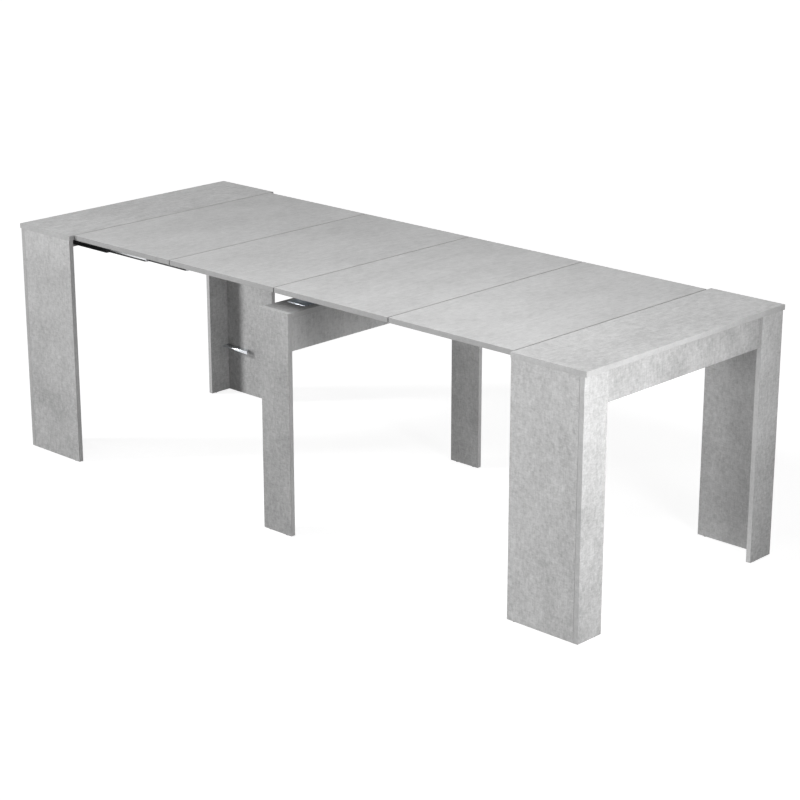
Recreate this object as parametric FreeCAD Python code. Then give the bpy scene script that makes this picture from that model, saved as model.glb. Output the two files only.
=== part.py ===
import FreeCAD, Part
import os

# Extendable console table, built as it stands fully extended with its leaves on.
# Millimetres. X runs along the table, Y from front to back and Z up from the floor.
# The origin is on the floor at the middle of the extended table.

# Panels
table_width = 900.0
table_height = 772.0
board = 16.0
edge_break = 0.6
seam = 3.0
end_top_depth = 260.0
leaf_depth = 464.0
leaf_count = 4
leaf_inset = 18.0

# End frames
end_overhang = 6.0
side_setback = 2.0
end_board_width = 100.0
apron_height = 94.0
apron_recess = 4.0
block_size = 32.0
block_setback = 46.0

# Middle leg
middle_width = 120.0
middle_drop = 70.0
middle_clearance = 2.0
rail_height = 104.0
rail_recess = 6.0

# Telescopic slides, eleven members side by side on each side of the table
stage_count = 10
slide_inset = 110.0
slide_pitch = 12.5
slide_gap = 0.8
slide_length = 281.0
slide_end_gap = 2.0
slide_lift = 0.5
outer_stage_share = 0.0876
middle_share = 0.5
neck_height = 14.0
head_height = 24.0
lip_thickness = 2.5
head_thickness = 3.0
slide_fit = 0.5

# Steel plates under the middle members and steel angles at the fixed members
plate_thickness = 2.5
plate_width = 75.0
plate_inset = 109.0
plate_depth = 141.0
angle_sheet = 2.0
angle_height = 40.0
angle_flange = 25.0
angle_length = 190.0

# Corner brackets that carry the leaves when they are stored
bracket_height = 174.0
bracket_length = 110.0
bracket_reach = 124.0
bracket_depth = 30.0
bracket_nose_depth = 21.0
bracket_lip = 12.0
bracket_tip_lip = 4.0
bracket_sheet = 2.0

# Locating cleats under the leaves
cleat_height = 12.0
cleat_width = 18.0
cleat_length = 300.0
cleat_gap = 3.0

# Glides under the legs
glide_height = 2.0
glide_radius = 6.0
glide_setback = 24.0

# Positions that follow from the sizes
table_length = 2 * end_top_depth + leaf_count * leaf_depth + (leaf_count + 1) * seam
closed_length = 2 * end_top_depth + seam
travel = table_length - closed_length
half_length = table_length / 2
half_width = table_width / 2
underside = table_height - board
side_inner = half_width - board
end_outer = half_length - end_overhang
end_inner = end_outer - board
frame_inner = half_length - end_top_depth + side_setback
apron_inner = end_outer - apron_recess - board
end_board_edge = half_width - end_board_width
middle_top = table_height - middle_drop
middle_face = side_inner - middle_clearance
slide_body = slide_pitch - slide_gap
slide_outer = half_width - slide_inset
slide_bottom = middle_top + plate_thickness + slide_lift
slide_inner = slide_outer - stage_count * slide_pitch - slide_body
slide_middle = (slide_bottom + underside) / 2
slide_start = half_length - apron_inner + slide_end_gap
closed_step = (closed_length - 2 * slide_start - slide_length) / stage_count

# Share of the travel that each member has made when the table is fully extended.
# The two outer stages at each end are drawn out less than the ones next to the middle leg.
half_stages = stage_count // 2
inner_stage_share = (middle_share - 2 * outer_stage_share) / (half_stages - 2)
stage_shares = [0.0, outer_stage_share, 2 * outer_stage_share]
while len(stage_shares) < half_stages:
    stage_shares.append(stage_shares[-1] + inner_stage_share)
stage_shares.append(middle_share)
for stage in range(half_stages - 1, -1, -1):
    stage_shares.append(1.0 - stage_shares[stage])


def box(x, y, z):
    """Box between two values on each axis."""
    corner = FreeCAD.Vector(min(x), min(y), min(z))
    return Part.makeBox(max(x) - min(x), max(y) - min(y), max(z) - min(z), corner)


def panel(x, y, z):
    """Board with every edge slightly broken, as edge banding leaves it."""
    shape = box(x, y, z)
    return shape.makeChamfer(edge_break, shape.Edges)


def to_back(shape):
    """Copy of a front piece on the back of the table."""
    return shape.mirror(FreeCAD.Vector(0, 0, 0), FreeCAD.Vector(0, 1, 0))


def to_left(shape):
    """Copy of a right piece on the left of the table."""
    return shape.mirror(FreeCAD.Vector(0, 0, 0), FreeCAD.Vector(1, 0, 0))


def prism(outline, direction):
    """Solid swept from a closed outline of points."""
    wire = Part.makePolygon(outline + outline[:1])
    return Part.Face(wire).extrude(direction)


def save(node, shapes):
    """One STEP file for each node."""
    shape = shapes[0] if len(shapes) == 1 else Part.makeCompound(shapes)
    shape.exportStep("parts/" + node + ".step")


def save_pair(name, front, end=None):
    """Front piece and its copy at the back, on the right end or moved to the left end."""
    prefix = name if end is None else end + "_{}_" + name
    for place, shape in (("front", front), ("back", to_back(front))):
        save(prefix.format(place), [to_left(shape) if end == "left" else shape])


def member(stage):
    """Front member of one slide stage: a T head outside, a T channel inside."""
    start = slide_start + stage * closed_step + stage_shares[stage] * travel - half_length
    outside = -slide_outer + stage * slide_pitch
    inside = outside + slide_body
    bottom = slide_bottom - slide_lift if stage == half_stages else slide_bottom
    outline = [(outside, bottom), (inside, bottom)]
    if stage < stage_count:
        mouth = neck_height / 2 + slide_fit
        hollow = head_height / 2 + slide_fit
        lip = inside - lip_thickness
        depth = lip - head_thickness - 2 * slide_fit
        outline += [(inside, slide_middle - mouth), (lip, slide_middle - mouth)]
        outline += [(lip, slide_middle - hollow), (depth, slide_middle - hollow)]
        outline += [(depth, slide_middle + hollow), (lip, slide_middle + hollow)]
        outline += [(lip, slide_middle + mouth), (inside, slide_middle + mouth)]
    outline += [(inside, underside), (outside, underside)]
    if stage > 0:
        neck = neck_height / 2
        head = head_height / 2
        shoulder = outside - slide_gap - lip_thickness - slide_fit
        tip = shoulder - head_thickness
        outline += [(outside, slide_middle + neck), (shoulder, slide_middle + neck)]
        outline += [(shoulder, slide_middle + head), (tip, slide_middle + head)]
        outline += [(tip, slide_middle - head), (shoulder, slide_middle - head)]
        outline += [(shoulder, slide_middle - neck), (outside, slide_middle - neck)]
    points = [FreeCAD.Vector(start, y, z) for y, z in outline]
    return prism(points, FreeCAD.Vector(slide_length, 0, 0))


def slide_angle(face, outward):
    """Front steel angle that hangs a fixed member from an end top, right end."""
    across = outward * angle_sheet
    x = (end_inner - block_size, end_inner - block_size - angle_length)
    web = box(x, (face, face + across), (underside - angle_height, underside))
    flange_y = (face, face + across + outward * angle_flange)
    flange = box(x, flange_y, (underside - angle_sheet, underside))
    return web.fuse(flange).removeSplitter()


def leaf_bracket():
    """Front corner bracket on the right end: a shelf with a tapered lip along its free edge."""
    corner = (end_inner, -side_inner)
    along = (end_inner - bracket_length, -side_inner)
    nose = (end_inner - bracket_reach, -side_inner + bracket_nose_depth)
    across = (end_inner, -side_inner + bracket_depth)
    plan = (corner, along, nose, across)
    low = [FreeCAD.Vector(x, y, bracket_height - bracket_lip) for x, y in plan]
    room = prism(low, FreeCAD.Vector(0, 0, bracket_lip))
    under = [FreeCAD.Vector(x, y, bracket_height - bracket_sheet) for x, y in plan]
    shelf = prism(under, FreeCAD.Vector(0, 0, bracket_sheet))
    edge = [FreeCAD.Vector(*nose, bracket_height - bracket_lip), FreeCAD.Vector(*nose, bracket_height)]
    edge.append(FreeCAD.Vector(*across, bracket_height))
    edge.append(FreeCAD.Vector(*across, bracket_height - bracket_tip_lip))
    run = FreeCAD.Vector(across[0] - nose[0], across[1] - nose[1], 0).normalize()
    lip = prism(edge, FreeCAD.Vector(run.y, -run.x, 0) * bracket_sheet)
    return shelf.fuse(lip.common(room)).removeSplitter()


def glide(x, y):
    """Round glide under a board."""
    return Part.makeCylinder(glide_radius, glide_height, FreeCAD.Vector(x, y, 0))


def save_end(end):
    """All pieces of one end frame. They are drawn on the right and moved for the left end."""
    place = to_left if end == "left" else lambda shape: shape
    top_x = (half_length - end_top_depth, half_length)
    top = panel(top_x, (-half_width, half_width), (underside, table_height))
    side = panel((frame_inner, end_inner), (-half_width, -side_inner), (glide_height, underside))
    face = panel((end_inner, end_outer), (-half_width, -end_board_edge), (glide_height, underside))
    apron_y = (-end_board_edge, end_board_edge)
    apron_z = (underside - apron_height, underside)
    apron = panel((apron_inner, apron_inner + board), apron_y, apron_z)
    save(end + "_top", [place(top)])
    save(end + "_apron", [place(apron)])
    save_pair("side_board", side, end)
    save_pair("end_board", face, end)

    blocks = []
    glides = []
    for near in (end_inner, frame_inner + block_setback + block_size):
        z = (underside - block_size, underside)
        blocks.append(box((near - block_size, near), (-side_inner, -side_inner + block_size), z))
    middle_of_side = -half_width + board / 2
    glides.append(glide(frame_inner + glide_setback, middle_of_side))
    glides.append(glide(end_inner + board / 2, -end_board_edge - glide_setback))
    blocks += [to_back(block) for block in blocks]
    glides += [to_back(foot) for foot in glides]
    save(end + "_corner_blocks", [place(block) for block in blocks])
    save(end + "_glides", [place(foot) for foot in glides])

    fixed_face = -slide_outer if end == "left" else -slide_inner
    outward = -1 if end == "left" else 1
    angle = slide_angle(fixed_face, outward)
    save(end + "_slide_angles", [place(angle), place(to_back(angle))])
    if end == "left":
        save_pair("leaf_bracket", leaf_bracket(), end)


def save_middle():
    """All pieces of the middle leg apart from its slide members."""
    half = middle_width / 2
    inner = middle_face - board
    leg = panel((-half, half), (-middle_face, -inner), (glide_height, middle_top))
    top = panel((-half, half), (-inner, inner), (middle_top - board, middle_top))
    rail_x = (half - rail_recess - board, half - rail_recess)
    rail_z = (middle_top - board - rail_height, middle_top - board)
    rail = panel(rail_x, (-inner, inner), rail_z)
    save_pair("middle_{}_leg", leg)
    save("middle_top_board", [top])
    save("middle_right_rail", [rail])
    save("middle_left_rail", [to_left(rail)])
    plate_y = (-half_width + plate_inset, -half_width + plate_inset + plate_depth)
    plate_z = (middle_top, middle_top + plate_thickness)
    save_pair("middle_{}_plate", box((-plate_width / 2, plate_width / 2), plate_y, plate_z))
    foot = glide(half - glide_setback, -middle_face + board / 2)
    feet = [foot, to_left(foot), to_back(foot), to_back(to_left(foot))]
    save("middle_glides", feet)


def save_slides():
    """Slide members, front and back, named by where they are fixed or by their stage."""
    fixed = {0: "left", half_stages: "middle", stage_count: "right"}
    for stage in range(stage_count + 1):
        owner = fixed.get(stage, "stage_" + str(stage))
        save_pair(owner + "_{}_slide", member(stage))


def save_leaves():
    """Loose leaves with the cleats that keep them between the slides."""
    for leaf in range(leaf_count):
        start = end_top_depth + seam + leaf * (leaf_depth + seam) - half_length
        y = half_width - leaf_inset
        middle = start + leaf_depth / 2
        cleat_x = (middle - cleat_length / 2, middle + cleat_length / 2)
        outer = slide_inner - angle_sheet - angle_flange - cleat_gap
        cleat = box(cleat_x, (-outer, -outer + cleat_width), (underside - cleat_height, underside))
        name = "leaf_" + str(leaf + 1)
        save(name, [panel((start, start + leaf_depth), (-y, y), (underside, table_height))])
        save(name + "_cleats", [cleat, to_back(cleat)])


os.makedirs("parts", exist_ok=True)
save_end("left")
save_end("right")
save_middle()
save_slides()
save_leaves()
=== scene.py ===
"""Finishes, fittings, light and camera for an extendable console table at full length.

Every board, slide and glide of the frame keeps its shape and gets a finish here. The seals in
the seams, the slides' runners, the bent brackets, the rubbed plates and all screws are modelled
as new pieces.
"""

import logging
import math
from collections.abc import Callable
from dataclasses import dataclass, field, replace
from enum import Enum

import bpy
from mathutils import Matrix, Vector


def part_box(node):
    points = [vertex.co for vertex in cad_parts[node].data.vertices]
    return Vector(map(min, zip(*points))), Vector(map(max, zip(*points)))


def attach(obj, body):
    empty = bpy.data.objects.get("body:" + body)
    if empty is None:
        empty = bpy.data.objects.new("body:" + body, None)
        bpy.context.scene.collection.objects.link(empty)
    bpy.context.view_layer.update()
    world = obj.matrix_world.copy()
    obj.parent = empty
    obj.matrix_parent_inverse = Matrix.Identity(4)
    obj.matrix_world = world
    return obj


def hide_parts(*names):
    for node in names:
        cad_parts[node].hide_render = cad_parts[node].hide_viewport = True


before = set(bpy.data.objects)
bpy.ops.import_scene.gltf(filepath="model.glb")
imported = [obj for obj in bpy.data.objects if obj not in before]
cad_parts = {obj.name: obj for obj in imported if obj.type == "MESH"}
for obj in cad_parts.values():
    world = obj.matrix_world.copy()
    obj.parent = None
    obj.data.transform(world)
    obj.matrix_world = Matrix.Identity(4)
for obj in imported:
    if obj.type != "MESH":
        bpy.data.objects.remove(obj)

LOG = logging.getLogger("console_table")
MM = 0.001
MERGE_MM = 0.001
SMOOTH_BELOW = math.radians(40)
SRGB_FULL, SRGB_KNEE, SRGB_SLOPE, SRGB_OFFSET, SRGB_POWER = 255, 0.04045, 12.92, 0.055, 2.4
# Sockets of a Mix node that mixes colours. Their names aren't unique.
MIX_SHARE, MIX_FIRST, MIX_SECOND, MIX_RESULT = 0, 6, 7, 2
Point = tuple[float, float, float]


class Axis(Enum):
    """Axes of the table, by their place in a point."""

    LENGTH = 0
    DEPTH = 1
    HEIGHT = 2


class Side(Enum):
    """Long sides of the table, with the sign of their Y."""

    FRONT = -1
    BACK = 1


class Sheet(Enum):
    """Printed sheets of the decor that the boards are cut from, and copies that are lighter or
    darker to paint light and shade.
    """

    TOP = "top"
    LEAF = "leaf"
    LEG = "leg"
    PALE_EDGE = "pale_edge"
    MIDDLE = "middle"
    APRON = "apron"
    RAIL = "rail"


class Element(Enum):
    """Kinds of mesh element that are picked for an edit."""

    POINT = "VERT"
    EDGE = "EDGE"
    FACE = "FACE"


class Slot(Enum):
    """Material slots of the record for the new pieces' finishes, given with each piece but not
    used.
    """

    CHROME = "chrome_sheet"
    STEEL = "grey_steel"
    PLASTIC = "glide_plastic"


def linear(colour: str) -> tuple[float, float, float, float]:
    """Turn an sRGB hex colour into the linear colour that a shader socket takes.

    Args:
        colour: six hex digits after a hash sign.

    Returns:
        Linear red, green and blue, and an alpha of 1.
    """
    parts = [part / SRGB_FULL for part in bytes.fromhex(colour[1:])]
    red, green, blue = (part / SRGB_SLOPE if part <= SRGB_KNEE
                        else ((part + SRGB_OFFSET) / (1 + SRGB_OFFSET)) ** SRGB_POWER
                        for part in parts)
    return red, green, blue, 1.0


def per_size(*sizes_mm: float) -> Point:
    """Mapping scale at which one step of a pattern has the given size on X, Y and Z."""
    sizes = sizes_mm * len(Axis) if len(sizes_mm) == 1 else sizes_mm
    return tuple(1 / (size * MM) for size in sizes)


def add_node(tree: bpy.types.NodeTree, kind: str, values: dict | None = None,
             links: dict | None = None, stops: list[tuple[float, str]] | None = None,
             **settings: object) -> bpy.types.Node:
    """Add one node with its settings, socket values and incoming links.

    Args:
        tree: node tree that gets the node.
        kind: Blender's identifier of the node type.
        values: constants by input socket.
        links: sockets, or nodes for their first output, by the input socket that they feed.
        stops: places and hex colours, for a node with a colour ramp.
        **settings: properties of the node itself.

    Returns:
        The new node.
    """
    node = tree.nodes.new(kind)
    for key, value in settings.items():
        setattr(node, key, value)
    for key, value in (values or {}).items():
        node.inputs[key].default_value = value
    for key, source in (links or {}).items():
        socket = source.outputs[0] if isinstance(source, bpy.types.Node) else source
        tree.links.new(socket, node.inputs[key])
    for index, (place, colour) in enumerate(stops or []):
        ramp = node.color_ramp.elements
        stop = ramp[index] if index < len(ramp) else ramp.new(place)
        stop.position = place
        stop.color = linear(colour)
    return node


def start_material(name: str) -> tuple[bpy.types.Material, bpy.types.NodeTree,
                                       bpy.types.NodeSocket]:
    """Make an empty node material.

    Args:
        name: the material's name.

    Returns:
        The material, its node tree and the socket of its Object coordinates.
    """
    material = bpy.data.materials.new(name)
    material.use_nodes = True
    material.node_tree.nodes.clear()
    place = add_node(material.node_tree, "ShaderNodeTexCoord")
    return material, material.node_tree, place.outputs["Object"]


@dataclass(frozen=True, kw_only=True)
class Finish:
    """Sheen, relief and optical values that every finish has."""

    smooth: float
    rough: float
    relief: float = 0.0
    relief_mm: float = 0.0
    # A metal has none here and keeps the default.
    ior: float | None = None

    def add_surface(self, tree: bpy.types.NodeTree, colour: bpy.types.Node | bpy.types.NodeSocket,
                    sheen_by: bpy.types.Node, relief_by: bpy.types.Node) -> None:
        """Join colour, sheen and relief in the surface of a material.

        Args:
            tree: the material's node tree.
            colour: its colour.
            sheen_by: pattern that its sheen follows.
            relief_by: pattern that its relief follows, if the finish has one.
        """
        sheen = add_node(tree, "ShaderNodeMapRange", {"To Min": self.smooth, "To Max": self.rough},
                         {"Value": sheen_by})
        links = {"Base Color": colour, "Roughness": sheen}
        if self.relief:
            depth = {"Strength": self.relief, "Distance": self.relief_mm * MM}
            links["Normal"] = add_node(tree, "ShaderNodeBump", depth, {"Height": relief_by})
        values = {"IOR": self.ior} if self.ior else {"Metallic": 1.0}
        surface = add_node(tree, "ShaderNodeBsdfPrincipled", values, links)
        add_node(tree, "ShaderNodeOutputMaterial", links={"Surface": surface})


@dataclass(frozen=True, kw_only=True)
class ConcreteDecor(Finish):
    """Melamine paper printed as cast concrete and pressed on board.

    The print gives the eye faint pale clouds, a sandy mottle, fine trowel strokes that cross like
    linen, and a little grit. Its colour is darkened towards the foot as painted shade. The resin
    over it has a low satin sheen. The board's narrow edges carry a band under a fainter print,
    whose tone is a painted highlight on the middle leg and the back end boards and painted shade on
    the leaves, and its broken corners show the core.
    """

    dark: str = "#9b9b9b"
    middle: str = "#c4c4c4"
    light: str = "#e1e1e1"
    # The band's tone is partly painted light: it is set per sheet, lighter on lit edges and darker
    # on shaded ones.
    band_and_painted_light: str = "#b3b3b3"
    core: str = "#b0b0b0"
    cloud_mm: float = 120.0
    mottle_mm: float = 13.0
    stroke_mm: float = 4.5
    stroke_length_mm: float = 17.0
    cross_length_mm: float = 14.0
    # Real grit is under 1 mm. It is drawn coarser so that it shows at the picture's scale.
    grit_mm: float = 4.0
    grain_stretch: float = 1.2
    cloud_share: float = 0.54
    mottle_share: float = 0.52
    stroke_share: float = 0.42
    cross_share: float = 0.40
    grit_share: float = 0.34
    cloud_detail: float = 3.0
    mottle_detail: float = 4.0
    fine_detail: float = 2.0
    noise_roughness: float = 0.55
    dark_stop: float = 0.1
    middle_stop: float = 0.5
    light_stop: float = 0.9
    # Painted shade: the colour darkens towards the foot, up to this height.
    painted_shade_height_mm: float = 700.0
    painted_shade_share: float = 0.18
    band_share: float = 0.5
    edge_limit: float = 0.9
    band_stop: float = 0.2
    core_stop: float = 0.6
    smooth: float = 0.62
    rough: float = 0.78
    relief: float = 0.15
    relief_mm: float = 0.15
    ior: float = 1.5

    def spread(self, grain: Axis, across_mm: float, along_mm: float) -> Point:
        """Give the mapping scale of a pattern that is stretched along the grain.

        Args:
            grain: axis of the grain.
            across_mm: size of one step across the grain.
            along_mm: size of one step along it.

        Returns:
            Scale on X, Y and Z.
        """
        sizes = [across_mm] * len(Axis)
        sizes[grain.value] = along_mm
        return per_size(*sizes)

    def material(self, board: str, grain: Axis, thin: Axis, cut: Vector) -> bpy.types.Material:
        """Make the decor of one board.

        Args:
            board: name of the board.
            grain: axis of its strokes.
            thin: axis through its thickness.
            cut: place of the board in the endless print, in metres.

        Returns:
            The board's material.
        """
        material, tree, place = start_material("concrete_decor_" + board)
        moved = add_node(tree, "ShaderNodeVectorMath", {1: cut}, {0: place}, operation="ADD")
        cloud = self.spread(grain, self.cloud_mm, self.cloud_mm * self.grain_stretch)
        mottle = self.spread(grain, self.mottle_mm, self.mottle_mm * self.grain_stretch)
        stroke = self.spread(grain, self.stroke_mm, self.stroke_length_mm)
        cross = self.spread(grain, self.cross_length_mm, self.stroke_mm)
        patterns = [(cloud, self.cloud_detail, self.cloud_share),
                    (mottle, self.mottle_detail, self.mottle_share),
                    (stroke, self.fine_detail, self.stroke_share),
                    (cross, self.fine_detail, self.cross_share),
                    (per_size(self.grit_mm), self.fine_detail, self.grit_share)]
        tone = None
        layers = []
        for scale, detail, weight in patterns:
            scaled = add_node(tree, "ShaderNodeMapping", {"Scale": scale}, {"Vector": moved})
            layer = add_node(tree, "ShaderNodeTexNoise",
                             {"Scale": 1.0, "Detail": detail, "Roughness": self.noise_roughness},
                             {"Vector": scaled})
            centred = add_node(tree, "ShaderNodeMath", {1: weight, 2: -self.middle_stop * weight},
                               {0: layer}, operation="MULTIPLY_ADD")
            terms = {1: centred} if tone is None else {0: tone, 1: centred}
            tone = add_node(tree, "ShaderNodeMath", {0: self.middle_stop}, terms, operation="ADD")
            layers.append(layer)
        # Painted shade: the colour darkens towards the foot.
        height = add_node(tree, "ShaderNodeSeparateXYZ", links={0: place}).outputs["Z"]
        low = add_node(tree, "ShaderNodeMapRange",
                       {"From Max": self.painted_shade_height_mm * MM, "To Min": 1.0, "To Max": 0.0},
                       {"Value": height})
        tone = add_node(tree, "ShaderNodeMath", {1: -self.painted_shade_share}, {0: low, 2: tone},
                        operation="MULTIPLY_ADD")
        colour = add_node(tree, "ShaderNodeValToRGB", links={"Fac": tone},
                          stops=[(self.dark_stop, self.dark), (self.light_stop, self.light),
                                 (self.middle_stop, self.middle)])
        # Edges take the band, whose tone is partly painted light and shade.
        through = [1.0 if axis is thin else 0.0 for axis in Axis]
        facing = add_node(tree, "ShaderNodeVectorMath", {1: through},
                          {0: place.node.outputs["Normal"]}, operation="DOT_PRODUCT")
        flat = add_node(tree, "ShaderNodeMath", links={0: facing.outputs["Value"]},
                        operation="ABSOLUTE")
        edge = add_node(tree, "ShaderNodeMath", {1: self.edge_limit}, {0: flat},
                        operation="LESS_THAN")
        share = add_node(tree, "ShaderNodeMath", {1: self.band_share}, {0: edge},
                         operation="MULTIPLY")
        band_and_painted_light = add_node(tree, "ShaderNodeValToRGB", links={"Fac": flat},
                        stops=[(self.band_stop, self.band_and_painted_light), (self.core_stop, self.core)])
        skin = add_node(tree, "ShaderNodeMix",
                        links={MIX_SHARE: share, MIX_FIRST: colour, MIX_SECOND: band_and_painted_light},
                        data_type="RGBA")
        self.add_surface(tree, skin.outputs[MIX_RESULT], layers[1], layers[-1])
        return material


@dataclass(frozen=True, kw_only=True)
class Metal(Finish):
    """Metal whose colour, sheen and relief follow fine marks."""

    bright: str
    dull: str
    mark_mm: Point
    mark_detail: float
    mark_roughness: float
    dull_stop: float = 0.3
    bright_stop: float

    def material(self, name: str) -> bpy.types.Material:
        """Make the finish.

        Args:
            name: the material's name.

        Returns:
            The material.
        """
        material, tree, place = start_material(name)
        scaled = add_node(tree, "ShaderNodeMapping", {"Scale": per_size(*self.mark_mm)},
                          {"Vector": place})
        detail = {"Scale": 1.0, "Detail": self.mark_detail, "Roughness": self.mark_roughness}
        marks = add_node(tree, "ShaderNodeTexNoise", detail, {"Vector": scaled})
        colour = add_node(tree, "ShaderNodeValToRGB", links={"Fac": marks},
                          stops=[(self.dull_stop, self.dull), (self.bright_stop, self.bright)])
        self.add_surface(tree, colour, marks, marks)
        return material


@dataclass(frozen=True, kw_only=True)
class DrawnAluminium(Metal):
    """Anodised aluminium, drawn through a die.

    Fine die lines run along the bar and spread its reflections sideways.
    """

    bright: str = "#e0e1e3"
    dull: str = "#b8babd"
    # Real die lines are under 0.5 mm apart. They are drawn wider so that they show.
    mark_mm: Point = (160.0, 2.0, 2.0)
    mark_detail: float = 3.0
    mark_roughness: float = 0.6
    bright_stop: float = 0.7
    smooth: float = 0.26
    rough: float = 0.40
    relief: float = 0.2
    relief_mm: float = 0.05


@dataclass(frozen=True, kw_only=True)
class PlatedSteel(Metal):
    """Pressed or turned steel with a bright electroplated coat.

    The plating mirrors the room, softened by faint polishing scuffs.
    """

    bright: str = "#e4e7ea"
    dull: str = "#c3c8cd"
    mark_mm: Point = (9.0, 9.0, 9.0)
    mark_detail: float = 5.0
    mark_roughness: float = 0.65
    bright_stop: float = 0.6
    smooth: float = 0.08
    rough: float = 0.24


@dataclass(frozen=True, kw_only=True)
class Skin(Finish):
    """Skin with fine dimples that break up its sheen, over a slightly uneven colour."""

    dark: str
    light: str
    dimple_mm: float
    cloud_mm: float
    dimple_detail: float = 2.0
    cloud_detail: float
    dark_stop: float = 0.3
    light_stop: float = 0.7

    def material(self, name: str) -> bpy.types.Material:
        """Make the finish.

        Args:
            name: the material's name.

        Returns:
            The material.
        """
        material, tree, place = start_material(name)
        layers = []
        for size_mm, detail in ((self.dimple_mm, self.dimple_detail),
                                (self.cloud_mm, self.cloud_detail)):
            scaled = add_node(tree, "ShaderNodeMapping", {"Scale": per_size(size_mm)},
                              {"Vector": place})
            layers.append(add_node(tree, "ShaderNodeTexNoise", {"Scale": 1.0, "Detail": detail},
                                   {"Vector": scaled}))
        dimples, clouds = layers
        colour = add_node(tree, "ShaderNodeValToRGB", links={"Fac": clouds},
                          stops=[(self.dark_stop, self.dark), (self.light_stop, self.light)])
        self.add_surface(tree, colour, dimples, dimples)
        return material


@dataclass(frozen=True, kw_only=True)
class CoatedSteel(Skin):
    """Steel under a stove-cured powder coat.

    The coat flows into a faint orange peel, and its sheen breaks up on it.
    """

    dark: str = "#191a1c"
    light: str = "#27292c"
    dimple_mm: float = 3.0
    cloud_mm: float = 36.0
    cloud_detail: float = 3.0
    smooth: float = 0.35
    rough: float = 0.5
    relief: float = 0.25
    relief_mm: float = 0.1
    ior: float = 1.5


@dataclass(frozen=True, kw_only=True)
class MouldedPlastic(Skin):
    """Polyamide from a spark-eroded mould.

    The mould leaves a fine pebbled matt skin and slightly uneven colour.
    """

    dark: str = "#1c1d1e"
    light: str = "#2a2b2c"
    dimple_mm: float = 1.5
    cloud_mm: float = 20.0
    cloud_detail: float = 2.0
    smooth: float = 0.5
    rough: float = 0.68
    relief: float = 0.3
    relief_mm: float = 0.1
    ior: float = 1.53


@dataclass(frozen=True, kw_only=True)
class PlanedBeech(Finish):
    """Planed and unvarnished beech lath.

    Straight pale grain with short darker flecks, and a dry matt face.
    """

    dark: str = "#b08f6c"
    light: str = "#d3b593"
    ring_mm: float = 3.0
    ring_length_mm: float = 120.0
    fleck_mm: float = 1.5
    fleck_length_mm: float = 7.0
    ring_detail: float = 3.0
    fleck_detail: float = 1.0
    fleck_share: float = 0.4
    dark_stop: float = 0.5
    light_stop: float = 0.9
    smooth: float = 0.62
    rough: float = 0.78
    relief: float = 0.3
    relief_mm: float = 0.1
    ior: float = 1.5

    def material(self, name: str) -> bpy.types.Material:
        """Make the finish.

        Args:
            name: the material's name.

        Returns:
            The material.
        """
        material, tree, place = start_material(name)
        ring_scale = per_size(self.ring_length_mm, self.ring_mm, self.ring_mm)
        wide = add_node(tree, "ShaderNodeMapping", {"Scale": ring_scale}, {"Vector": place})
        rings = add_node(tree, "ShaderNodeTexNoise", {"Scale": 1.0, "Detail": self.ring_detail},
                         {"Vector": wide})
        fleck_scale = per_size(self.fleck_length_mm, self.fleck_mm, self.fleck_mm)
        short = add_node(tree, "ShaderNodeMapping", {"Scale": fleck_scale}, {"Vector": place})
        flecks = add_node(tree, "ShaderNodeTexNoise", {"Scale": 1.0, "Detail": self.fleck_detail},
                          {"Vector": short})
        tone = add_node(tree, "ShaderNodeMath", {1: self.fleck_share}, {0: flecks, 2: rings},
                        operation="MULTIPLY_ADD")
        colour = add_node(tree, "ShaderNodeValToRGB", links={"Fac": tone},
                          stops=[(self.dark_stop, self.dark), (self.light_stop, self.light)])
        self.add_surface(tree, colour, rings, flecks)
        return material


def dress(node: str, material: bpy.types.Material) -> None:
    """Put a finish on a node of the frame.

    Args:
        node: name of the node.
        material: its finish.
    """
    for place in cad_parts[node].material_slots:
        place.material = material
    LOG.info("dressed %s in %s", node, material.name)


def deselect() -> None:
    """Leave edit mode and clear the selection, so that an operator acts on one piece alone."""
    if bpy.context.mode != "OBJECT":
        bpy.ops.object.mode_set(mode="OBJECT")
    bpy.ops.object.select_all(action="DESELECT")


def only(piece: bpy.types.Object) -> None:
    """Make a piece the one selected and active object.

    Args:
        piece: the piece.
    """
    deselect()
    piece.select_set(True)
    bpy.context.view_layer.objects.active = piece


def start_bar(low_mm: Point, high_mm: Point) -> bpy.types.Object:
    """Add a cube stretched between two corners, to be shaped further.

    Args:
        low_mm: its lowest corner.
        high_mm: its highest corner.

    Returns:
        The new object.
    """
    deselect()
    low, high = Vector(low_mm) * MM, Vector(high_mm) * MM
    bpy.ops.mesh.primitive_cube_add(size=1, location=(low + high) / 2)
    bar = bpy.context.object
    bar.scale = high - low
    bpy.ops.object.transform_apply(location=True, rotation=True, scale=True)
    return bar


def start_pick(piece: bpy.types.Object, kind: Element) -> None:
    """Clear a piece's selection, so that code can pick some of its elements.

    Args:
        piece: piece to edit.
        kind: kind of element to pick.
    """
    only(piece)
    bpy.ops.object.mode_set(mode="EDIT")
    bpy.ops.mesh.select_mode(type=kind.value)
    bpy.ops.mesh.select_all(action="DESELECT")
    bpy.ops.object.mode_set(mode="OBJECT")


def pick_faces(piece: bpy.types.Object, wanted: Callable[[Vector, Vector], bool]) -> None:
    """Enter edit mode with the wanted faces selected.

    Args:
        piece: piece to edit.
        wanted: test of a face's centre in metres and its normal.
    """
    start_pick(piece, Element.FACE)
    for face in piece.data.polygons:
        face.select = wanted(face.center, face.normal)
    bpy.ops.object.mode_set(mode="EDIT")


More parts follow.
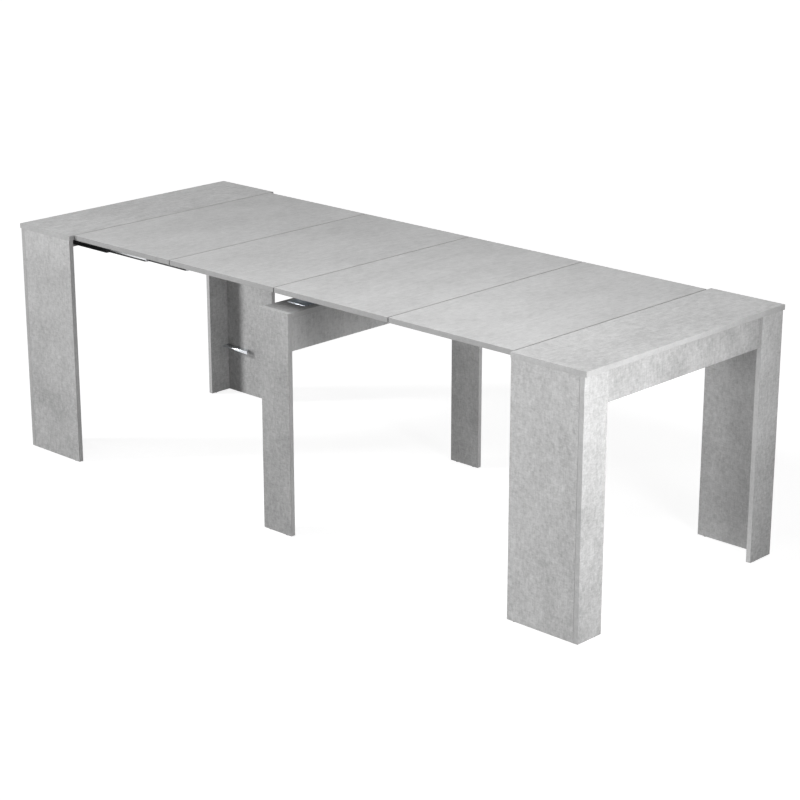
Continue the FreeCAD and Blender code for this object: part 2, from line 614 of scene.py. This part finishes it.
def pick_edges(piece: bpy.types.Object, wanted: Callable[[Vector, Vector], bool]) -> None:
    """Enter edit mode with the wanted edges selected.

    Args:
        piece: piece to edit.
        wanted: test of an edge's two ends in metres.
    """
    start_pick(piece, Element.EDGE)
    points = piece.data.vertices
    for edge in piece.data.edges:
        edge.select = wanted(*(points[index].co for index in edge.vertices))
    bpy.ops.object.mode_set(mode="EDIT")


def settle(piece: bpy.types.Object, name: str) -> bpy.types.Object:
    """Name a piece, put its place into its mesh and smooth its rounded edges.

    Args:
        piece: the piece.
        name: its final name.

    Returns:
        The same piece, at the origin and unturned.
    """
    only(piece)
    bpy.ops.object.transform_apply(location=True, rotation=True, scale=True)
    bpy.ops.object.shade_smooth_by_angle(angle=SMOOTH_BELOW)
    piece.name = name
    piece.data.name = name
    return piece


def face_outwards(piece: bpy.types.Object) -> None:
    """Merge doubled points and turn all faces outwards.

    Args:
        piece: the piece.
    """
    pick_faces(piece, lambda centre, normal: True)
    bpy.ops.mesh.remove_doubles(threshold=MERGE_MM * MM)
    bpy.ops.mesh.select_all(action="SELECT")
    bpy.ops.mesh.normals_make_consistent(inside=False)
    deselect()


def copy_of(piece: bpy.types.Object, name: str, move: Vector,
            flip: Point = (1, 1, 1)) -> bpy.types.Object:
    """Copy a modelled piece, with its own mesh, to another place.

    Args:
        piece: piece to copy.
        name: the copy's name.
        move: way from the piece to the copy, in metres.
        flip: scale about the origin before the move, -1 on an axis to mirror.

    Returns:
        The copy, at the origin and unturned.
    """
    only(piece)
    bpy.ops.object.duplicate()
    twin = bpy.context.object
    twin.location = move
    twin.scale = flip
    settle(twin, name)
    if min(flip) < 0:
        face_outwards(twin)
    return twin


def joined(pieces: list[bpy.types.Object], name: str) -> bpy.types.Object:
    """Join copies that belong to one body into one piece.

    Args:
        pieces: the copies.
        name: name of the joined piece.

    Returns:
        The joined piece.
    """
    only(pieces[0])
    for piece in pieces:
        piece.select_set(True)
    bpy.ops.object.join()
    return settle(pieces[0], name)


def discard(piece: bpy.types.Object) -> None:
    """Delete a pattern piece once its copies are made."""
    only(piece)
    bpy.ops.object.delete()


def hand_over(piece: bpy.types.Object, body: str, slot: Slot, *nodes: str) -> None:
    """Let a finished piece move with a body and stand for nodes of the frame.

    Args:
        piece: the piece.
        body: body that carries it.
        slot: not used.
        *nodes: nodes that it stands for.
    """
    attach(piece, body)
    if nodes:
        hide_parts(*nodes)
    LOG.info("built %s on %s", piece.name, body)


@dataclass
class Finishes:
    """Every finish of the table, made once and shared by its sub-assemblies."""

    cut_step_m: Point = (0.731, 1.173, 0.517)
    cuts: int = 0
    sheets: dict[Sheet, ConcreteDecor] = field(init=False)
    aluminium: bpy.types.Material = field(init=False)
    black: bpy.types.Material = field(init=False)
    grey: bpy.types.Material = field(init=False)
    bare: bpy.types.Material = field(init=False)
    chrome: bpy.types.Material = field(init=False)
    zinc: bpy.types.Material = field(init=False)
    plastic: bpy.types.Material = field(init=False)
    rubber: bpy.types.Material = field(init=False)
    beech: bpy.types.Material = field(init=False)

    def __post_init__(self) -> None:
        """Make the plain materials, and the sheets that boards are cut from, some of them copies
        that paint light and shade.
        """
        leg = ConcreteDecor()
        # The leaves' darker edge band is painted shade on their front edges.
        leaf = replace(leg, cloud_mm=170.0, mottle_mm=18.0, stroke_mm=9.0, stroke_length_mm=60.0,
                       grain_stretch=1.6, cloud_share=0.34, mottle_share=0.32, stroke_share=0.24,
                       cross_share=0.18, grit_share=0.24, band_and_painted_light="#848484", core="#a0a0a0")
        # The aprons' copy of the decor is darker all over: painted shade.
        apron = replace(leg, cloud_mm=70.0, stroke_length_mm=24.0, cloud_share=0.62, dark="#8a8a8a",
                        middle="#b2b2b2", light="#d2d2d2")
        self.sheets = {
            Sheet.LEG: leg,
            # A copy of the leg's decor whose paler edge band is a painted highlight on the back end
            # boards' front edges.
            Sheet.PALE_EDGE: replace(leg, band_and_painted_light="#d6d6d6"),
            # The middle leg's copy is darker all over, as painted shade, and its paler edge band is
            # a painted highlight.
            Sheet.MIDDLE: replace(leg, dark="#878787", middle="#b1b1b1", light="#d0d0d0",
                                  band_and_painted_light="#e8e8e8", core="#b4b4b4", cloud_share=0.42,
                                  mottle_share=0.42),
            Sheet.LEAF: leaf,
            Sheet.TOP: replace(leaf, cloud_share=0.42, mottle_share=0.5, stroke_share=0.36,
                               cross_share=0.3, grit_share=0.4, band_and_painted_light=leg.band_and_painted_light),
            Sheet.APRON: apron,
            # The rails' copy is lighter, as painted light on their shaded faces.
            Sheet.RAIL: replace(apron, dark="#b0b0b0", middle="#d8d8d8", light="#eeeeee")}
        self.aluminium = DrawnAluminium().material("drawn_aluminium")
        self.black = CoatedSteel().material("black_powder_coat")
        self.grey = CoatedSteel(dark="#97a1ac", light="#a8b1bb").material("grey_powder_coat")
        self.bare = PlatedSteel(bright="#d5d9de", dull="#aeb4bb", smooth=0.2,
                                rough=0.36).material("rubbed_steel_edge")
        self.chrome = PlatedSteel().material("chrome_plate")
        self.zinc = PlatedSteel(bright="#c9cccf", dull="#9a9ea3", mark_mm=(2.5, 2.5, 2.5),
                                smooth=0.22, rough=0.4).material("zinc_plate")
        self.plastic = MouldedPlastic().material("black_polyamide")
        self.rubber = MouldedPlastic(dark="#161616", light="#222222").material("extruded_dark_pvc")
        self.beech = PlanedBeech().material("planed_beech")

    def board(self, node: str, sheet: Sheet, grain: Axis) -> None:
        """Dress a board in a fresh cut of the decor.

        Args:
            node: name of the board.
            sheet: printed sheet that it is cut from.
            grain: axis of its strokes.
        """
        self.cuts += 1
        low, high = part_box(node)
        thin = min(Axis, key=lambda axis: high[axis.value] - low[axis.value])
        cut = Vector(self.cut_step_m) * self.cuts
        dress(node, self.sheets[sheet].material(node, grain, thin, cut))


@dataclass
class Screw:
    """Pan-head screw with a hexagon socket, modelled once with its head pointing down."""

    head_radius_mm: float = 4.0
    head_height_mm: float = 2.2
    rim_mm: float = 0.9
    socket_mm: float = 1.9
    socket_depth_mm: float = 1.3
    around: int = 24
    rim_segments: int = 3
    near_mm: float = 0.01
    down_limit: float = -0.9

    def model(self, material: bpy.types.Material) -> bpy.types.Object:
        """Model the head under the origin.

        Args:
            material: its finish.

        Returns:
            The pattern screw.
        """
        deselect()
        height = self.head_height_mm * MM
        bpy.ops.mesh.primitive_cylinder_add(vertices=self.around, radius=self.head_radius_mm * MM,
                                            depth=height, location=(0, 0, -height / 2))
        head = bpy.context.object
        settle(head, "screw_pattern")
        bottom = self.near_mm * MM - height
        pick_edges(head, lambda a, b: a.z < bottom and b.z < bottom)
        bpy.ops.mesh.bevel(offset=self.rim_mm * MM, segments=self.rim_segments, affect="EDGES")
        pick_faces(head, lambda centre, normal: normal.z < self.down_limit)
        rest = (self.head_radius_mm - self.rim_mm - self.socket_mm) * MM
        bpy.ops.mesh.inset(thickness=rest)
        up = (0, 0, self.socket_depth_mm * MM)
        bpy.ops.mesh.extrude_region_move(TRANSFORM_OT_translate={"value": up})
        deselect()
        head.data.materials.append(material)
        return head

    def set_of(self, pattern: bpy.types.Object, name: str,
               places_mm: list[Point]) -> bpy.types.Object:
        """Put one head at each place under a face and join them.

        Args:
            pattern: the modelled head.
            name: name of the set.
            places_mm: points on the face, in millimetres.

        Returns:
            The joined set.
        """
        heads = [copy_of(pattern, f"{name}_{number}", Vector(place) * MM)
                 for number, place in enumerate(places_mm)]
        return joined(heads, name)


@dataclass
class EndFrame:
    """One end of the table: top, apron, corner legs, fixed slide angles and their screws."""

    end: str
    finishes: Finishes
    screw: Screw
    pattern: bpy.types.Object
    angle_screw_inset_mm: float = 22.0
    angle_screws: int = 3
    angle_sheet_mm: float = 2.0
    flange_mm: float = 27.0
    flange_share: float = 0.42

    def build(self) -> None:
        """Dress the boards and fittings and set the screws."""
        self.finishes.board(f"{self.end}_top", Sheet.TOP, Axis.DEPTH)
        for side in Side:
            # The back end boards take the copy with a painted highlight on their edge band.
            end_sheet = Sheet.PALE_EDGE if side is Side.BACK else Sheet.LEG
            for kind, sheet in (("side", Sheet.LEG), ("end", end_sheet)):
                node = f"{self.end}_{side.name.lower()}_{kind}_board"
                self.finishes.board(node, sheet, Axis.HEIGHT)
        self.finishes.board(f"{self.end}_apron", Sheet.APRON, Axis.HEIGHT)
        dress(f"{self.end}_slide_angles", self.finishes.black)
        dress(f"{self.end}_corner_blocks", self.finishes.plastic)
        dress(f"{self.end}_glides", self.finishes.plastic)
        self.build_screws()

    def build_screws(self) -> None:
        """Set screws through the angles' flanges and up through the corner blocks."""
        low, high = (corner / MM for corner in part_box(f"{self.end}_slide_angles"))
        edge = low.y if self.end == "left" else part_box(f"{self.end}_front_slide")[1].y / MM
        y = abs(edge + self.flange_mm * self.flange_share)
        under = high.z - self.angle_sheet_mm
        step = (high.x - low.x - 2 * self.angle_screw_inset_mm) / (self.angle_screws - 1)
        places = []
        for side in Side:
            for number in range(self.angle_screws):
                x = low.x + self.angle_screw_inset_mm + number * step
                places.append((x, side.value * y, under))
        heads = self.screw.set_of(self.pattern, f"{self.end}_angle_screws", places)
        hand_over(heads, f"{self.end}_end", Slot.STEEL)
        low, high = (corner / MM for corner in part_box(f"{self.end}_corner_blocks"))
        block = high.z - low.z
        inner = high.y - block / 2
        places = [(x, side.value * inner, low.z) for side in Side
                  for x in (low.x + block / 2, high.x - block / 2)]
        heads = self.screw.set_of(self.pattern, f"{self.end}_block_screws", places)
        hand_over(heads, f"{self.end}_end", Slot.STEEL)


@dataclass
class LeafBrackets:
    """Bent chrome shelves in the left legs' corners, which carry the leaves in store."""

    finishes: Finishes
    depth_mm: float = 30.0
    nose_depth_mm: float = 21.0
    length_mm: float = 110.0
    lip_mm: float = 12.0
    tip_lip_mm: float = 4.0
    sheet_mm: float = 2.0
    bend_mm: float = 2.0
    bend_segments: int = 4
    edge_mm: float = 0.4
    edge_segments: int = 2
    edge_angle: float = math.radians(50)
    near_mm: float = 0.1

    def build(self) -> None:
        """Model the back bracket and mirror it to the front."""
        back = self.model()
        front = copy_of(back, "left_front_bent_bracket", Vector(), (1, Side.FRONT.value, 1))
        hand_over(back, "left_end", Slot.CHROME, "left_back_leaf_bracket")
        hand_over(front, "left_end", Slot.CHROME, "left_front_leaf_bracket")

    def model(self) -> bpy.types.Object:
        """Bend the sheet of the back bracket.

        Returns:
            The finished bracket.
        """
        low, high = (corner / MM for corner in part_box("left_back_leaf_bracket"))
        top = high.z - self.sheet_mm / 2
        inset = self.sheet_mm / 2
        nose = high.y - self.nose_depth_mm + inset
        targets = {(-1, -1): (low.x, high.y - self.depth_mm + inset),
                   (1, -1): (high.x - inset, nose),
                   (-1, 1): (low.x, high.y),
                   (1, 1): (low.x + self.length_mm - inset, high.y)}
        deselect()
        bpy.ops.mesh.primitive_plane_add(size=2 * MM, location=(0, 0, 0))
        sheet = bpy.context.object
        for (side_x, side_y), (x, y) in targets.items():
            self.move_corner(sheet, (side_x * MM, side_y * MM), Vector((x, y, top)) * MM)
        near = (high.y - self.nose_depth_mm + 2 * self.sheet_mm) * MM
        pick_edges(sheet, lambda a, b: a.y < near and b.y < near)
        down = (inset - self.tip_lip_mm) * MM
        bpy.ops.mesh.extrude_region_move(TRANSFORM_OT_translate={"value": (0, 0, down)})
        bpy.ops.object.mode_set(mode="OBJECT")
        lower = Vector((high.x - inset, nose, high.z - self.tip_lip_mm)) * MM
        deeper = lower + Vector((0, 0, self.tip_lip_mm - self.lip_mm)) * MM
        self.move_corner(sheet, (lower.x, lower.y), deeper, lower.z)
        fold = (top - self.near_mm) * MM
        pick_edges(sheet, lambda a, b: a.y < near and b.y < near and min(a.z, b.z) > fold)
        bpy.ops.mesh.bevel(offset=self.bend_mm * MM, segments=self.bend_segments, affect="EDGES")
        only(sheet)
        wall = sheet.modifiers.new("wall", "SOLIDIFY")
        wall.thickness = self.sheet_mm * MM
        wall.offset = 0
        bpy.ops.object.modifier_apply(modifier="wall")
        face_outwards(sheet)
        only(sheet)
        broken = sheet.modifiers.new("broken_edges", "BEVEL")
        broken.width = self.edge_mm * MM
        broken.segments = self.edge_segments
        broken.angle_limit = self.edge_angle
        bpy.ops.object.modifier_apply(modifier="broken_edges")
        sheet.data.materials.append(self.finishes.chrome)
        return settle(sheet, "left_back_bent_bracket")

    def move_corner(self, sheet: bpy.types.Object, corner: tuple[float, float], target: Vector,
                    height: float = 0.0) -> None:
        """Move one corner of the sheet to its place.

        Args:
            sheet: the flat sheet.
            corner: X and Y of the corner now, in metres.
            target: where it goes, in metres.
            height: Z of the corner now, in metres.
        """
        start_pick(sheet, Element.POINT)
        now = Vector((*corner, height))
        for point in sheet.data.vertices:
            point.select = (point.co - now).length < self.near_mm * MM
        bpy.ops.object.mode_set(mode="EDIT")
        bpy.ops.transform.translate(value=target - now)
        bpy.ops.object.mode_set(mode="OBJECT")


@dataclass
class MiddleLeg:
    """The leg frame that follows the slides: two legs, a top board, two rails and two plates."""

    finishes: Finishes
    screw: Screw
    pattern: bpy.types.Object
    plate_edge_mm: float = 0.7
    plate_edge_segments: int = 2
    flat_limit: float = 0.999
    bolt_inset_mm: float = 24.0

    def build(self) -> None:
        """Dress the boards, rub the plates' edges and set the bolts."""
        for side in Side:
            self.finishes.board(f"middle_{side.name.lower()}_leg", Sheet.MIDDLE, Axis.HEIGHT)
        self.finishes.board("middle_top_board", Sheet.MIDDLE, Axis.DEPTH)
        for rail in ("left", "right"):
            self.finishes.board(f"middle_{rail}_rail", Sheet.RAIL, Axis.HEIGHT)
        dress("middle_glides", self.finishes.plastic)
        plate = self.model_plate()
        back = copy_of(plate, "middle_back_rubbed_plate", Vector(), (1, Side.FRONT.value, 1))
        hand_over(plate, "middle_leg", Slot.STEEL, "middle_front_plate")
        hand_over(back, "middle_leg", Slot.STEEL, "middle_back_plate")
        low, high = (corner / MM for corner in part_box("middle_front_plate"))
        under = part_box("middle_top_board")[0].z / MM
        places = []
        for side in Side:
            for x in (low.x + self.bolt_inset_mm, high.x - self.bolt_inset_mm):
                for y in (low.y + self.bolt_inset_mm, high.y - self.bolt_inset_mm):
                    places.append((x, -side.value * y, under))
        bolts = self.screw.set_of(self.pattern, "middle_plate_bolts", places)
        hand_over(bolts, "middle_leg", Slot.STEEL)

    def model_plate(self) -> bpy.types.Object:
        """Model the front plate with its coat rubbed off along the edges.

        Returns:
            The finished plate.
        """
        low, high = (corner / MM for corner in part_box("middle_front_plate"))
        plate = start_bar(low, high)
        pick_edges(plate, lambda a, b: True)
        bpy.ops.mesh.bevel(offset=self.plate_edge_mm * MM, segments=self.plate_edge_segments,
                           affect="EDGES")
        only(plate)
        plate.data.materials.append(self.finishes.grey)
        plate.data.materials.append(self.finishes.bare)
        pick_faces(plate, lambda centre, normal: abs(normal.z) < self.flat_limit)
        plate.active_material_index = plate.data.materials.find(self.finishes.bare.name)
        bpy.ops.object.material_slot_assign()
        return settle(plate, "middle_front_rubbed_plate")


@dataclass
class Slides:
    """Telescopic slides, with a plastic runner along the foot of every aluminium member."""

    finishes: Finishes
    stages: int = 10
    head_reach_mm: float = 6.8
    runner_height_mm: float = 5.0
    runner_mm: float = 0.4
    runner_edge_mm: float = 0.15
    edge_segments: int = 2
    near_share: float = 0.99
    runner_inset_mm: float = 2.0

    def owner(self, stage: int) -> tuple[str, str]:
        """Tell where a stage of the slides belongs.

        Args:
            stage: its number, counted from the left.

        Returns:
            Prefix of its nodes, and its body.
        """
        fixed = {0: ("left", "left_end"), self.stages // 2: ("middle", "middle_leg"),
                 self.stages: ("right", "right_end")}
        return fixed.get(stage, (f"stage_{stage}", f"stage_{stage}"))

    def build(self) -> None:
        """Dress the members and add their runners."""
        pattern = self.model_runner()
        for stage in range(self.stages + 1):
            prefix, body = self.owner(stage)
            for side in Side:
                node = f"{prefix}_{side.name.lower()}_slide"
                dress(node, self.finishes.aluminium if stage else self.finishes.black)
                if stage:
                    low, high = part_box(node)
                    face = low.y if side is Side.FRONT else high.y
                    face -= side.value * self.head_reach_mm * MM
                    place = Vector(((low.x + high.x) / 2, face, low.z))
                    flip = (1, -side.value, 1)
                    runner = copy_of(pattern, node + "_runner", place, flip)
                    hand_over(runner, body, Slot.PLASTIC)
        discard(pattern)

    def model_runner(self) -> bpy.types.Object:
        """Model a front runner with its foot at the origin.

        Returns:
            The pattern runner.
        """
        low, high = (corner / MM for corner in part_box("stage_1_front_slide"))
        half = (high.x - low.x) / 2 - self.runner_inset_mm
        runner = start_bar((-half, -self.runner_mm, 0), (half, 0, self.runner_height_mm))
        outer = -self.runner_mm * MM * self.near_share
        pick_edges(runner, lambda a, b: a.y < outer and b.y < outer)
        bpy.ops.mesh.bevel(offset=self.runner_edge_mm * MM, segments=self.edge_segments,
                           affect="EDGES")
        deselect()
        runner.data.materials.append(self.finishes.plastic)
        return settle(runner, "runner_pattern")


@dataclass
class Leaves:
    """Loose leaves with their cleats, the seals on their edges and the cleats' screws."""

    finishes: Finishes
    screw: Screw
    pattern: bpy.types.Object
    count: int = 4
    seal_mm: float = 2.0
    seal_drop_mm: float = 3.0
    seal_inset_mm: float = 1.0
    seal_edge_mm: float = 0.5
    edge_segments: int = 3
    near_share: float = 0.99
    screw_inset_mm: float = 40.0
    cleat_mm: float = 18.0

    def build(self) -> None:
        """Dress the leaves and cleats, seal the seams and set the screws."""
        seal = self.model_seal()
        for number in range(1, self.count + 1):
            leaf = f"leaf_{number}"
            self.finishes.board(leaf, Sheet.LEAF, Axis.DEPTH)
            dress(leaf + "_cleats", self.finishes.beech)
            low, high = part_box(leaf)
            middle = Vector((0, 0, high.z))
            ends = {"right": high.x}
            if number == 1:
                ends["left"] = low.x - self.seal_mm * MM
            for end, x in ends.items():
                strip = copy_of(seal, f"{leaf}_{end}_seal", middle + Vector((x, 0, 0)))
                hand_over(strip, leaf, Slot.PLASTIC)
            self.build_screws(leaf)
        discard(seal)

    def model_seal(self) -> bpy.types.Object:
        """Model a seal whose back is on X 0 and whose leaf's top is at Z 0.

        Returns:
            The pattern seal.
        """
        low, high = (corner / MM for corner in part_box("leaf_1"))
        half = (high.y - low.y) / 2 - self.seal_inset_mm
        thick = high.z - low.z
        seal = start_bar((0, -half, self.seal_drop_mm - thick),
                         (self.seal_mm, half, -self.seal_drop_mm))
        top = -self.seal_drop_mm * MM / self.near_share
        pick_edges(seal, lambda a, b: a.z > top and b.z > top)
        bpy.ops.mesh.bevel(offset=self.seal_edge_mm * MM, segments=self.edge_segments,
                           affect="EDGES")
        deselect()
        seal.data.materials.append(self.finishes.rubber)
        return settle(seal, "seal_pattern")

    def build_screws(self, leaf: str) -> None:
        """Set two screws up through each cleat of a leaf.

        Args:
            leaf: name of the leaf.
        """
        low, high = (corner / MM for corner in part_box(leaf + "_cleats"))
        y = high.y - self.cleat_mm / 2
        places = [(x, side.value * y, low.z) for side in Side
                  for x in (low.x + self.screw_inset_mm, high.x - self.screw_inset_mm)]
        heads = self.screw.set_of(self.pattern, leaf + "_cleat_screws", places)
        hand_over(heads, leaf, Slot.STEEL)


@dataclass
class Studio:
    """White floor, soft studio lights and the camera of the photograph."""

    camera_m: Point = (4.5849, -4.7096, 2.4570)
    heading: float = 0.76067
    tilt: float = 0.31404
    focal_px: float = 2202.68
    frame_px: float = 800.0
    sensor_mm: float = 36.0
    floor_m: float = 60.0
    sky: float = 0.13
    # Way towards each broad light, its strength and its width as an angle.
    main: tuple[Point, float, float] = ((-0.567, -0.617, 0.545), 1.44, math.radians(11))
    low: tuple[Point, float, float] = ((-0.66, -0.745, 0.09), 1.13, math.radians(16))
    rear: tuple[Point, float, float] = ((0.15, 0.98, 0.10), 2.5, math.radians(40))
    strip_m: Point = (0.0, -0.95, 1.65)
    strip_target_m: Point = (0.0, -0.45, 0.5)
    strip_size_m: tuple[float, float] = (3.0, 0.6)
    strip_power: float = 8.0
    over_m: Point = (0.85, -0.30, 2.0)
    over_target_m: Point = (0.85, -0.15, 0.77)
    over_size_m: tuple[float, float] = (1.2, 0.8)
    over_power: float = 1.9
    over_spread: float = math.radians(110)
    key_m: Point = (2.6, -0.46, 0.80)
    key_target_m: Point = (1.19, -0.49, 0.62)
    key_power: float = 95.0
    key_spread: float = math.radians(98)
    key_size_m: float = 0.25
    key_blend: float = 1.0
    white: str = "#ffffff"
    paper: str = "#a9a9a9"
    paper_glow: float = 0.84
    bounce: str = "#9c9c9c"

    def build(self) -> None:
        """Build the floor, the lights and the camera."""
        self.build_floor()
        self.build_room()
        self.build_soft_light("main_light", *self.main)
        self.build_soft_light("low_light", *self.low)
        self.build_soft_light("rear_light", *self.rear)
        # The strip over the front edge makes the legs darken towards the floor.
        self.build_panel("strip_light", self.strip_m, self.strip_target_m, self.strip_size_m,
                         self.strip_power)
        # The panel over the right half makes the top darken towards the left.
        self.build_panel("over_light", self.over_m, self.over_target_m, self.over_size_m,
                         self.over_power, self.over_spread)
        self.build_key()
        self.build_camera()

    def seen_rays(self, tree: bpy.types.NodeTree) -> bpy.types.Node:
        """Tell rays that show the backdrop from rays that carry its light to the table.

        Args:
            tree: node tree of the backdrop.

        Returns:
            Node that gives 1 for a ray that shows it, straight or in metal or glass.
        """
        path = add_node(tree, "ShaderNodeLightPath").outputs
        seen = add_node(tree, "ShaderNodeMath",
                        links={0: path["Is Camera Ray"], 1: path["Is Glossy Ray"]},
                        operation="MAXIMUM")
        return add_node(tree, "ShaderNodeMath", links={0: seen, 1: path["Is Transmission Ray"]},
                        operation="MAXIMUM")

    def build_floor(self) -> None:
        """Lay the floor, which is white to the eye and pale grey to the light."""
        deselect()
        bpy.ops.mesh.primitive_plane_add(size=self.floor_m)
        floor = bpy.context.object
        floor.name = "studio_floor"
        material, tree, _ = start_material("studio_paper")
        paper = add_node(tree, "ShaderNodeBsdfDiffuse", {"Color": linear(self.paper)})
        glow = add_node(tree, "ShaderNodeEmission",
                        {"Color": linear(self.white), "Strength": self.paper_glow})
        white = add_node(tree, "ShaderNodeAddShader", links={0: paper, 1: glow})
        grey = add_node(tree, "ShaderNodeBsdfDiffuse", {"Color": linear(self.bounce)})
        both = add_node(tree, "ShaderNodeMixShader",
                        links={0: self.seen_rays(tree), 1: grey, 2: white})
        add_node(tree, "ShaderNodeOutputMaterial", links={"Surface": both})
        floor.data.materials.append(material)

    def build_room(self) -> None:
        """Set the even light of the room, which looks white."""
        world = bpy.data.worlds.new("studio_room")
        bpy.context.scene.world = world
        world.use_nodes = True
        tree = world.node_tree
        tree.nodes.clear()
        even, white = (add_node(tree, "ShaderNodeBackground",
                                {"Color": linear(self.white), "Strength": strength})
                       for strength in (self.sky, 1.0))
        both = add_node(tree, "ShaderNodeMixShader",
                        links={0: self.seen_rays(tree), 1: even, 2: white})
        add_node(tree, "ShaderNodeOutputWorld", links={"Surface": both})

    def build_soft_light(self, name: str, towards: Point, strength: float, width: float) -> None:
        """Hang one broad light far away.

        Args:
            name: its name.
            towards: way from the table to the light.
            strength: light on a surface that faces it, in watts per square metre.
            width: its width as seen from the table, in radians.
        """
        deselect()
        bpy.ops.object.light_add(type="SUN")
        lamp = bpy.context.object
        lamp.name = name
        lamp.data.energy = strength
        lamp.data.angle = width
        lamp.rotation_mode = "QUATERNION"
        lamp.rotation_quaternion = Vector(towards).to_track_quat("Z", "Y")

    def aim(self, lamp: bpy.types.Object, place: Point, target: Point) -> None:
        """Turn a lamp at a place towards a target."""
        lamp.rotation_mode = "QUATERNION"
        lamp.rotation_quaternion = (Vector(target) - Vector(place)).to_track_quat("-Z", "Y")

    def build_panel(self, name: str, place: Point, target: Point, size: tuple[float, float],
                    power: float, spread: float = math.pi) -> None:
        """Hang one light panel that the camera doesn't see.

        Args:
            name: its name.
            place: its middle, in metres.
            target: point that it is aimed at, in metres.
            size: its width and height, in metres.
            power: its power, in watts.
            spread: angle of its beam, in radians.
        """
        deselect()
        bpy.ops.object.light_add(type="AREA", location=place)
        panel = bpy.context.object
        panel.name = name
        panel.data.shape = "RECTANGLE"
        panel.data.size, panel.data.size_y = size
        panel.data.energy = power
        panel.data.spread = spread
        self.aim(panel, place, target)
        panel.visible_camera = False

    def build_key(self) -> None:
        """Aim the key light at the near right leg, with a soft rim."""
        deselect()
        bpy.ops.object.light_add(type="SPOT", location=self.key_m)
        key = bpy.context.object
        key.name = "key_light"
        key.data.energy = self.key_power
        key.data.spot_size = self.key_spread
        key.data.spot_blend = self.key_blend
        key.data.shadow_soft_size = self.key_size_m
        self.aim(key, self.key_m, self.key_target_m)

    def build_camera(self) -> None:
        """Put the camera where the photograph was taken from."""
        deselect()
        turn = (math.pi / 2 - self.tilt, 0, self.heading)
        bpy.ops.object.camera_add(location=self.camera_m, rotation=turn)
        camera = bpy.context.object
        camera.name = "photo_camera"
        camera.data.sensor_width = self.sensor_mm
        camera.data.lens = self.focal_px / self.frame_px * self.sensor_mm
        camera.data.clip_end = 2 * self.floor_m
        bpy.context.scene.camera = camera
        bpy.context.scene.view_settings.view_transform = "Standard"


def main() -> None:
    """Build the studio, dress the table and add its fittings."""
    logging.basicConfig(level=logging.INFO, format="%(message)s")
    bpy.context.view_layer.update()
    Studio().build()
    finishes = Finishes()
    screw = Screw()
    pattern = screw.model(finishes.zinc)
    for end in ("left", "right"):
        EndFrame(end, finishes, screw, pattern).build()
    LeafBrackets(finishes).build()
    MiddleLeg(finishes, screw, pattern).build()
    Slides(finishes).build()
    Leaves(finishes, screw, pattern).build()
    discard(pattern)
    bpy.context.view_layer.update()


if __name__ == "__main__":
    main()
